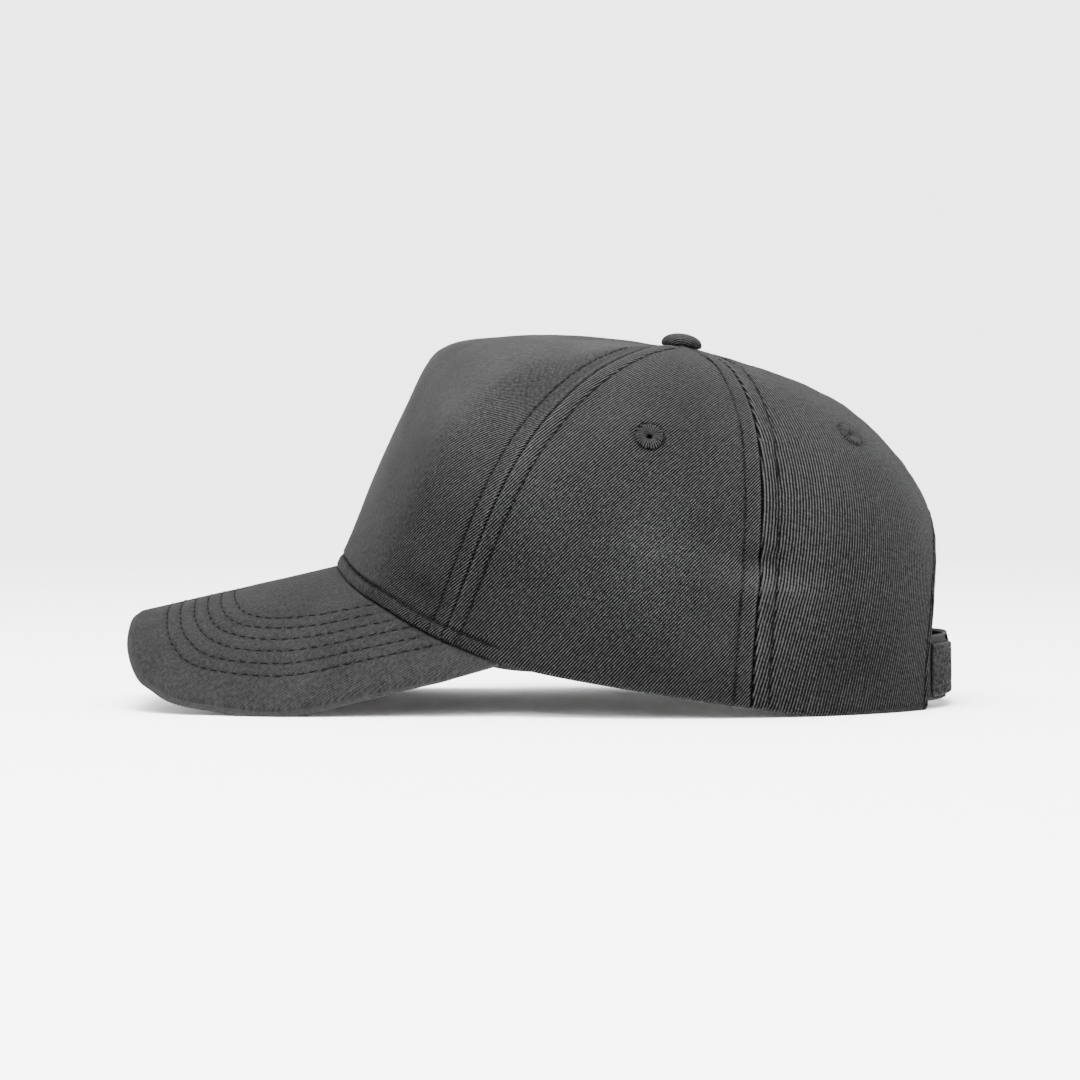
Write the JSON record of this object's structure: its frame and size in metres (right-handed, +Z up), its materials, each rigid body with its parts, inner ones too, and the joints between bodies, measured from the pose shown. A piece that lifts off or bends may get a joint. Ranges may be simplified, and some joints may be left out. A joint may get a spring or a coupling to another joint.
{
  "type": "five panel cap",
  "caption": "Charcoal twill cap with one wide front panel, two side and two back panels, a curved stitched peak and a touch-and-close strap across the rear opening.",
  "frame": {"origin": "middle of the footprint, on the surface that the cap rests on", "axes": "+Z up, -Y to the front of the peak, +X to the wearer's left"},
  "size_m": [0.154, 0.2797, 0.1263],
  "materials": {
    "twill": "matt cotton twill, charcoal grey",
    "band_tape": "matt folded cotton tape",
    "thread": "spun sewing thread with a faint sheen",
    "loop_pile": "brushed nylon loop pile"
  },
  "bodies": {
    "root": {"front_panel": "twill", "side_panel_left": "twill", "side_panel_right": "twill", "back_panel_left": "twill", "back_panel_right": "twill", "peak": "twill", "sweatband": "band_tape", "top_button": "twill", "eyelet_side_left": "thread", "eyelet_side_right": "thread", "eyelet_back_left": "thread", "eyelet_back_right": "thread", "closure_loop_tab": "twill", "closure_loop_patch": "loop_pile", "closure_hook_tab": "twill"}
  },
  "joints": []
}
